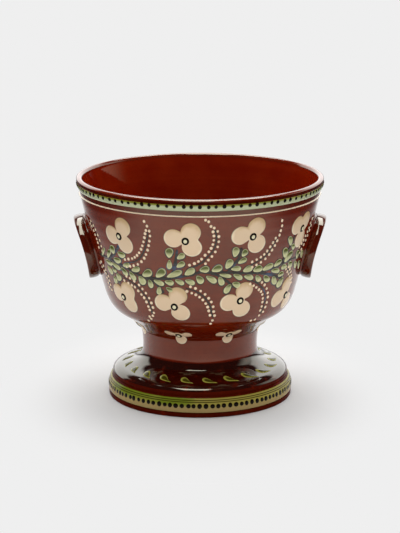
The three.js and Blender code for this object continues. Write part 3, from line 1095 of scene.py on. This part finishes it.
dotShape = newSlip()
sprigShape = newSlip()
for spray in sprays["rows"]:
    walked = walkPath(spray["path"], sprays["step"])
    for index, (spot, heading) in enumerate(walked):
        aside = Vector((-heading.y, heading.x))
        narrowing = 1 - sprays["narrowing"] * (index / len(walked)) ** 2
        for row in (-1, 1):
            if index < spray.get("late", (0, 0))[row < 0]:
                continue
            move = aside * row * spray["spread"] * narrowing + heading * row * sprays["stagger"]
            place = (spot[0] + move.x / skinAt(skin, spot[1])[0].x, spot[1] + move.y)
            dot = roundDrop(sprays["dot"] * chance.uniform(*sprays["dotSizes"]), sprays["dotStretch"])
            layBothSides(dotShape, place, dot, sprays["dotHeight"])
        half = heading * sprays["step"] * sprays["stemLap"]
        stem = leafSpread(half, aside * sprays["stem"], sprays["stemTaper"])
        layBothSides(sprigShape, spot, stem, sprays["stemHeight"], segments=8)
    for pixel in spray["tip"]:
        dot = roundDrop(sprays["dot"] * sprays["tipDot"], sprays["tipStretch"])
        layBothSides(dotShape, wallAt(*pixel), dot, sprays["dotHeight"])
finishPiece(dotShape, "sprayDots", [dotSlip])
finishPiece(sprigShape, "spraySprigs", [stemSlip])
print("sprays laid:", len(sprays["rows"]), "a side")

# small flowers round the neck, under the bowl
neckFlowers = {
    "count": 7,
    "frontPair": (-18.9, 26.1),  # degrees of the two that the photograph shows
    "level": 73.7,
    "lobeRadii": (4.3, 4.3, 5.8),
    "parting": 14,
    "lobes": [(-10.4, 2.9), (9.6, 2.6), (1.0, -6.6)],
    "eyeScale": 0.95,
}
neckShape = newSlip()
first, second = neckFlowers["frontPair"]
spacing = (360 - second + first) / (neckFlowers["count"] - 1)
lobes = [Vector(lobe) for lobe in neckFlowers["lobes"]]
reach = petalReach(lobes, neckFlowers["lobeRadii"], neckFlowers["parting"])
for degrees in [first, *(second + spacing * index for index in range(neckFlowers["count"] - 1))]:
    spot = (math.radians(degrees), lengthAt(skin, neckFlowers["level"]))
    layFlower(neckShape, spot, reach, neckFlowers["eyeScale"])
finishPiece(neckShape, "neckFlowers", [petalSlip, inkSlip, eyeSlip])

# comma leaves on the dome of the foot
domeLeaves = {
    "count": 21,
    "firstAngle": -9.4,
    "level": 31.2,
    "length": 17,
    "lengths": (0.92, 1.08),  # shortest and longest, as shares of it
    "width": 10.5,
    "lean": 36,  # degrees that the tail falls from level
    "leanWander": 5,
    "taper": 0.12,
    "bend": 0.3,
    "height": 0.7,
}
domeShape = newSlip()
for index in range(domeLeaves["count"]):
    angle = math.radians(domeLeaves["firstAngle"]) + math.tau * index / domeLeaves["count"]
    wander = domeLeaves["leanWander"]
    lean = math.radians(domeLeaves["lean"] + chance.uniform(-wander, wander))
    heading = Vector((-math.cos(lean), math.sin(lean)))
    aside = Vector((-heading.y, heading.x))
    half = heading * domeLeaves["length"] / 2 * chance.uniform(*domeLeaves["lengths"])
    leaf = leafSpread(half, aside * domeLeaves["width"] / 2, domeLeaves["taper"], domeLeaves["bend"])
    spot = (angle, lengthAt(skin, domeLeaves["level"]))
    layDrop(domeShape, skin, spot, leaf, domeLeaves["height"], segments=20, rounds=8)
finishPiece(domeShape, "domeLeaves", [footLeafSlip])
print("neck flowers and dome leaves laid")

# floor and light
studio = {
    "floorSize": 12,  # metres
    "floorTone": 0.66,
    "floorRoughness": 0.9,
    "floorEdge": (0.27, 0.5),  # where the floor darkens out to the sides
    "shadowReach": (0.1, 0.2),  # where the floor passes into the plain backdrop
    "shadowStretch": 0.72,  # how much further that is in front and behind
    "backdrop": 0.863,
    # soft light near the horizon, higher up, and from above and behind
    "fillLow": 1.15,
    "fillHigh": 0.6,
    "fillRise": (0.25, 0.6),
    "top": 2.3,
    "topRise": (0.3, 0.8),
    "topDepth": (-0.4, 0.4),
    # what gloss shows: a box overhead, a sweep behind, a light on the right and a dark room in front
    "box": 8,
    "boxEdges": (-0.6, 0.14, 1.05),  # front, start of the wide part and back, as shares of its height
    "boxHalf": (0.25, 0.48),  # half widths of its front and wide parts
    "boxShift": -0.1,  # sideways shift of the front part
    "boxSoftness": 0.04,
    "behind": 2.2,
    "behindDepth": (0.4, 0.55),
    "behindRise": (-0.06, 0.1),
    "right": 1.3,
    "rightReach": (0.6, 0.9),
    "rightDepth": (-0.2, 0.2),
    "lowTop": (0.6, 0.52),  # where the sweep and the light on the right end upwards
    "room": 0.03,
}


def addFloor():
    shape = bmesh.new()
    bmesh.ops.create_grid(shape, x_segments=1, y_segments=1, size=studio["floorSize"] / 2)
    mesh = toMesh(shape, "floor")
    floor = bpy.data.objects.new("floor", mesh)
    bpy.context.scene.collection.objects.link(floor)
    material, tree, shader = newMaterial("paleFloor")
    shader.inputs["Roughness"].default_value = studio["floorRoughness"]
    shader.inputs["Specular IOR Level"].default_value = 0
    coords = objectCoords(tree)
    aside = calc(tree, "ABSOLUTE", axesOf(tree, coords)[0])
    edge = smoothStep(tree, aside, *studio["floorEdge"])
    tones = ((*(tone,) * 3, 1) for tone in (studio["floorTone"], studio["room"]))
    tree.links.new(mixColour(tree, edge, *tones), shader.inputs["Base Color"])
    away = distanceOf(tree, coords, (1, studio["shadowStretch"], 1))
    plain = smoothStep(tree, away, *studio["shadowReach"])
    seen = addNode(tree, "LightPath").outputs["Is Camera Ray"]
    share = calc(tree, "MULTIPLY", plain, seen)
    backdrop = addNode(tree, "Emission", {"Strength": studio["backdrop"]}).outputs[0]
    surface = addNode(tree, "MixShader", {0: share, 1: shader.outputs[0], 2: backdrop}).outputs[0]
    tree.links.new(surface, tree.nodes["Material Output"].inputs["Surface"])
    mesh.materials.append(material)


def addSky():
    # soft fill from all round lights the object; its gloss shows the studio
    world = bpy.data.worlds.new("studio")
    world.use_nodes = True
    tree = world.node_tree

    def ramp(value, key):
        return smoothStep(tree, value, *studio[key])

    rays = addNode(tree, "LightPath")
    x, y, z = axesOf(tree, addNode(tree, "TexCoord").outputs["Generated"])
    height = calc(tree, "MAXIMUM", z, 0.001)
    across = calc(tree, "DIVIDE", x, height)
    along = calc(tree, "DIVIDE", y, height)
    soft = studio["boxSoftness"]
    front, widening, back = studio["boxEdges"]
    wide = smoothStep(tree, along, widening - soft, widening + soft)
    half = mixValue(tree, wide, *studio["boxHalf"])
    centre = mixValue(tree, wide, studio["boxShift"], 0.0)
    away = calc(tree, "ABSOLUTE", calc(tree, "SUBTRACT", across, centre))
    inset = smoothStep(tree, calc(tree, "SUBTRACT", half, away), -soft, soft)
    notBehind = smoothStep(tree, along, back + soft, back - soft)
    notBefore = smoothStep(tree, along, front - soft, front + soft)
    box = calc(tree, "MULTIPLY", inset, calc(tree, "MULTIPLY", notBehind, notBefore))
    behindShare = calc(tree, "MULTIPLY", ramp(y, "behindDepth"), ramp(z, "behindRise"))
    rightShare = calc(tree, "MULTIPLY", ramp(x, "rightReach"), ramp(y, "rightDepth"))
    room = mixValue(tree, rightShare, studio["room"], studio["right"])
    swept = mixValue(tree, behindShare, room, studio["behind"])
    lowered = mixValue(tree, ramp(z, "lowTop"), studio["room"], swept)
    gloss = mixValue(tree, box, lowered, studio["box"])
    topShare = calc(tree, "MULTIPLY", ramp(z, "topRise"), ramp(y, "topDepth"))
    fill = mixValue(tree, ramp(z, "fillRise"), studio["fillLow"], studio["fillHigh"])
    light = calc(tree, "MULTIPLY_ADD", topShare, studio["top"], fill)
    lit = mixValue(tree, rays.outputs["Is Glossy Ray"], light, gloss)
    shown = mixValue(tree, rays.outputs["Is Camera Ray"], lit, studio["backdrop"])
    tree.links.new(shown, tree.nodes["Background"].inputs["Strength"])
    tree.nodes["Background"].inputs["Color"].default_value = (1, 1, 1, 1)
    bpy.context.scene.world = world


addFloor()
addSky()
bpy.context.scene.view_settings.view_transform = "Standard"

print("scene ready")
